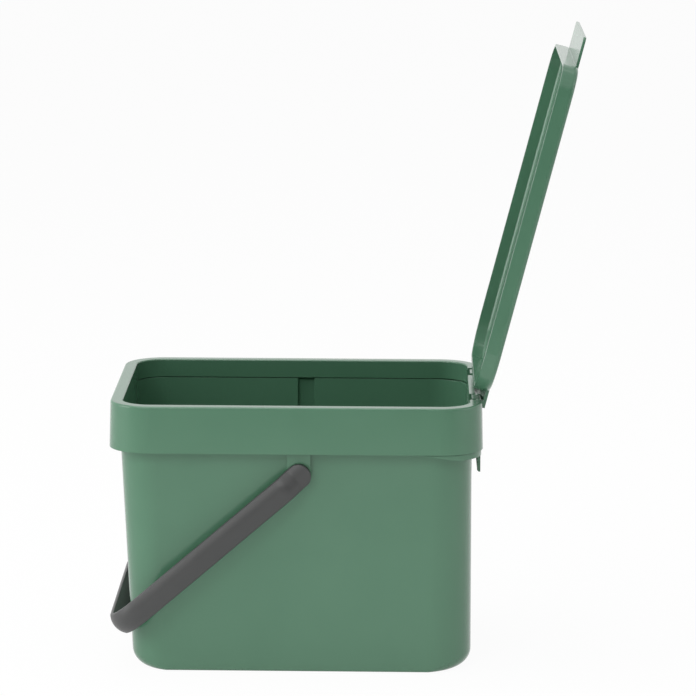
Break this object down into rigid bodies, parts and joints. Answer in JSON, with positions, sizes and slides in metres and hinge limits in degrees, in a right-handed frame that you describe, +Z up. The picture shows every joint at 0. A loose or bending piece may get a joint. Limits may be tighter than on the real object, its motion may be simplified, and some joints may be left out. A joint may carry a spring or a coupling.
{
  "type": "compost bin",
  "caption": "Rectangular countertop compost bin: drafted bucket, clip-on rim frame, hinged tray lid with a front lip, and a flat strap handle that swings over the top.",
  "frame": {"origin": "middle of the flat base, straight below the middle of the rim frame", "axes": "+Z up, +X towards the hinge at the back, -X towards the front lip of the lid, Y across the bin"},
  "size_m": [0.3414, 0.2148, 0.4614],
  "materials": {
    "green_plastic": "satin moulded polypropylene",
    "grey_plastic": "satin moulded polypropylene",
    "pin_steel": "drawn wire"
  },
  "bodies": {
    "bin": {"bucket": "green_plastic", "rim_frame": "green_plastic"},
    "lid": {"lid": "green_plastic", "hinge_pin_left": "pin_steel", "hinge_pin_right": "pin_steel"},
    "handle": {"carry_handle": "grey_plastic"}
  },
  "joints": [
    {"name": "lid_hinge", "type": "hinge", "parent": "bin", "child": "lid", "pos_m": [0.1317, 0, 0.195], "axis": [0, -1, 0], "range_deg": [0, 104.5]},
    {"name": "handle_swing", "type": "hinge", "parent": "bin", "child": "handle", "pos_m": [0.0026, 0, 0.1476], "axis": [0, 1, 0], "range_deg": [0, 172]}
  ]
}
